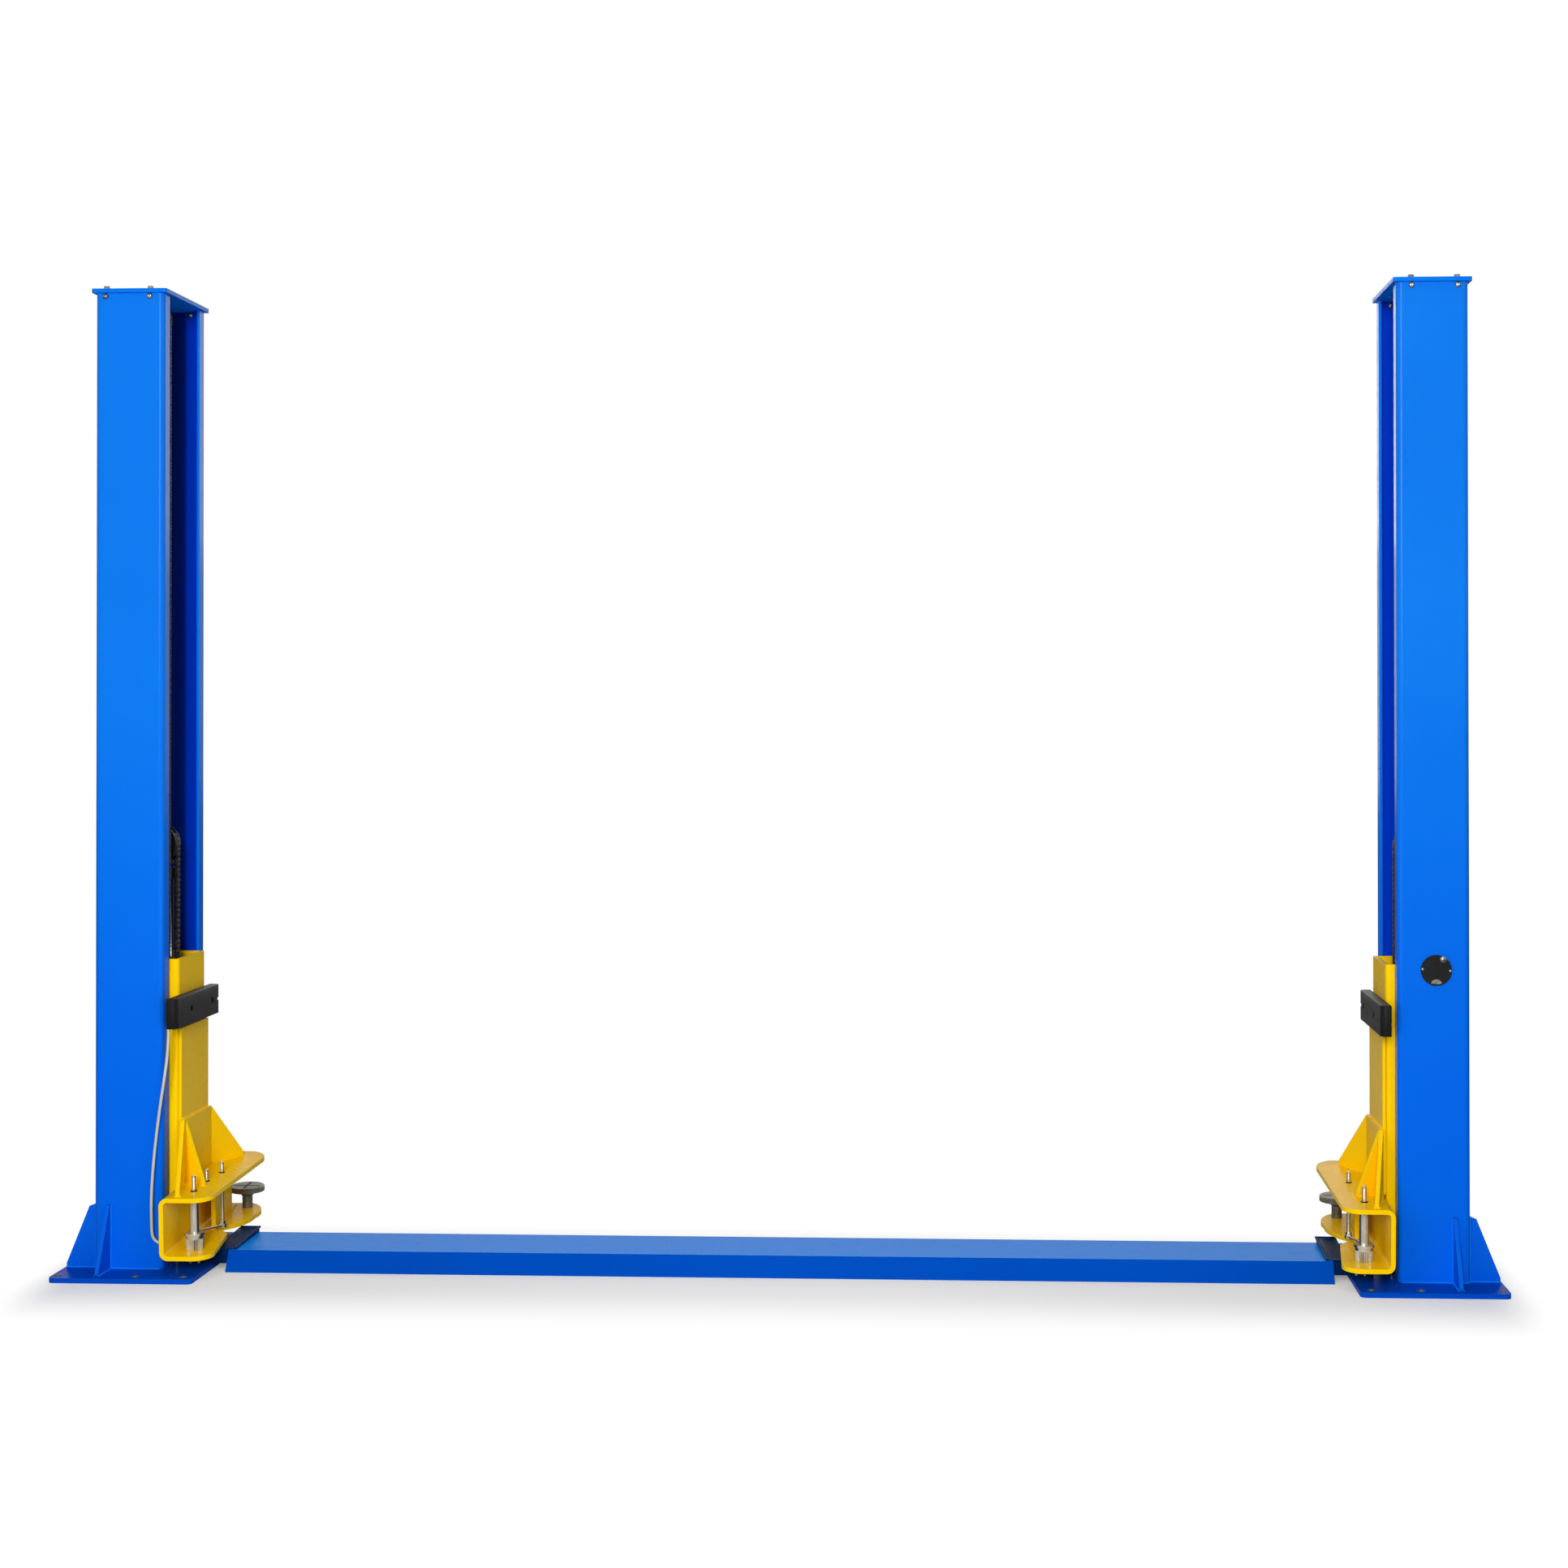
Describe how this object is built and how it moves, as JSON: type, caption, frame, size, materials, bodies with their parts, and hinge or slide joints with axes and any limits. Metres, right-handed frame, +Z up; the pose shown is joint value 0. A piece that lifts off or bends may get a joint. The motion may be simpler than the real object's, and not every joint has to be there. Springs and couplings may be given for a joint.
{
  "type": "two post car lift",
  "caption": "Two post car lift: blue steel posts on base plates, hydraulic carriages with arm receivers and arm locks, and a cover across the floor.",
  "frame": {"origin": "on the floor, midway between the two posts and midway between their front and back faces", "axes": "+X runs across the lift to the right post, +Y from the front to the back, +Z up"},
  "size_m": [3.468, 0.533, 2.4],
  "materials": {
    "blue_paint": "gloss",
    "yellow_paint": "gloss",
    "black_paint": "semi-gloss",
    "polished_rod": "polished",
    "oiled_chain": "oiled",
    "steel_rope": "stranded",
    "plain_steel": "zinc plated",
    "nylon": "matte",
    "guard_rubber": "matte",
    "cable_sheath": "satin"
  },
  "bodies": {
    "frame": {"left_base_plate": "blue_paint", "left_post": "blue_paint", "left_cap_plate": "blue_paint", "left_base_gussets": "blue_paint", "left_lift_cylinder": "black_paint", "left_cable_sheave": "black_paint", "left_equalising_cable": "steel_rope", "right_base_plate": "blue_paint", "right_post": "blue_paint", "right_cap_plate": "blue_paint", "right_base_gussets": "blue_paint", "right_lift_cylinder": "black_paint", "right_cable_sheave": "black_paint", "right_equalising_cable": "steel_rope", "floor_cover": "blue_paint", "left_cover_bridge": "blue_paint", "right_cover_bridge": "blue_paint", "inspection_cover": "black_paint"},
    "left_carriage": {"left_carriage_tube": "yellow_paint", "left_sliding_blocks": "nylon", "left_door_guard": "guard_rubber", "left_face_plates": "yellow_paint", "left_carriage_braces": "yellow_paint", "left_arm_receiver": "yellow_paint", "left_rear_arm_plate": "yellow_paint", "left_receiver_stiffener": "yellow_paint", "left_rear_arm_pin": "plain_steel", "release_cable": "cable_sheath", "cable_glands": "plain_steel"},
    "left_ram": {"left_ram": "polished_rod", "left_lift_chain": "oiled_chain"},
    "left_restraint": {"left_restraint_pin": "plain_steel", "left_restraint_link": "plain_steel"},
    "right_carriage": {"right_carriage_tube": "yellow_paint", "right_sliding_blocks": "nylon", "right_door_guard": "guard_rubber", "right_face_plates": "yellow_paint", "right_carriage_braces": "yellow_paint", "right_arm_receiver": "yellow_paint", "right_rear_arm_plate": "yellow_paint", "right_receiver_stiffener": "yellow_paint", "right_rear_arm_pin": "plain_steel"},
    "right_ram": {"right_ram": "polished_rod", "right_lift_chain": "oiled_chain"},
    "right_restraint": {"right_restraint_pin": "plain_steel", "right_restraint_link": "plain_steel"}
  },
  "joints": [
    {"name": "left_lift", "type": "slide", "parent": "frame", "child": "left_carriage", "axis": [0, 0, 1], "range_m": [0, 1.44]},
    {"name": "right_lift", "type": "slide", "parent": "frame", "child": "right_carriage", "axis": [0, 0, 1], "range_m": [0, 1.44]},
    {"name": "left_ram_slide", "type": "slide", "parent": "frame", "child": "left_ram", "axis": [0, 0, 1], "range_m": [0, 0.72]},
    {"name": "right_ram_slide", "type": "slide", "parent": "frame", "child": "right_ram", "axis": [0, 0, 1], "range_m": [0, 0.72]},
    {"name": "left_restraint_slide", "type": "slide", "parent": "left_carriage", "child": "left_restraint", "axis": [0, -0.0523, 0.9986], "range_m": [0, 0.012]},
    {"name": "right_restraint_slide", "type": "slide", "parent": "right_carriage", "child": "right_restraint", "axis": [0, -0.0523, 0.9986], "range_m": [0, 0.012]}
  ],
  "couplings": [
    {"joint": "right_lift", "follows": "left_lift", "ratio": 1},
    {"joint": "left_ram_slide", "follows": "left_lift", "ratio": 0.5},
    {"joint": "right_ram_slide", "follows": "left_lift", "ratio": 0.5}
  ]
}
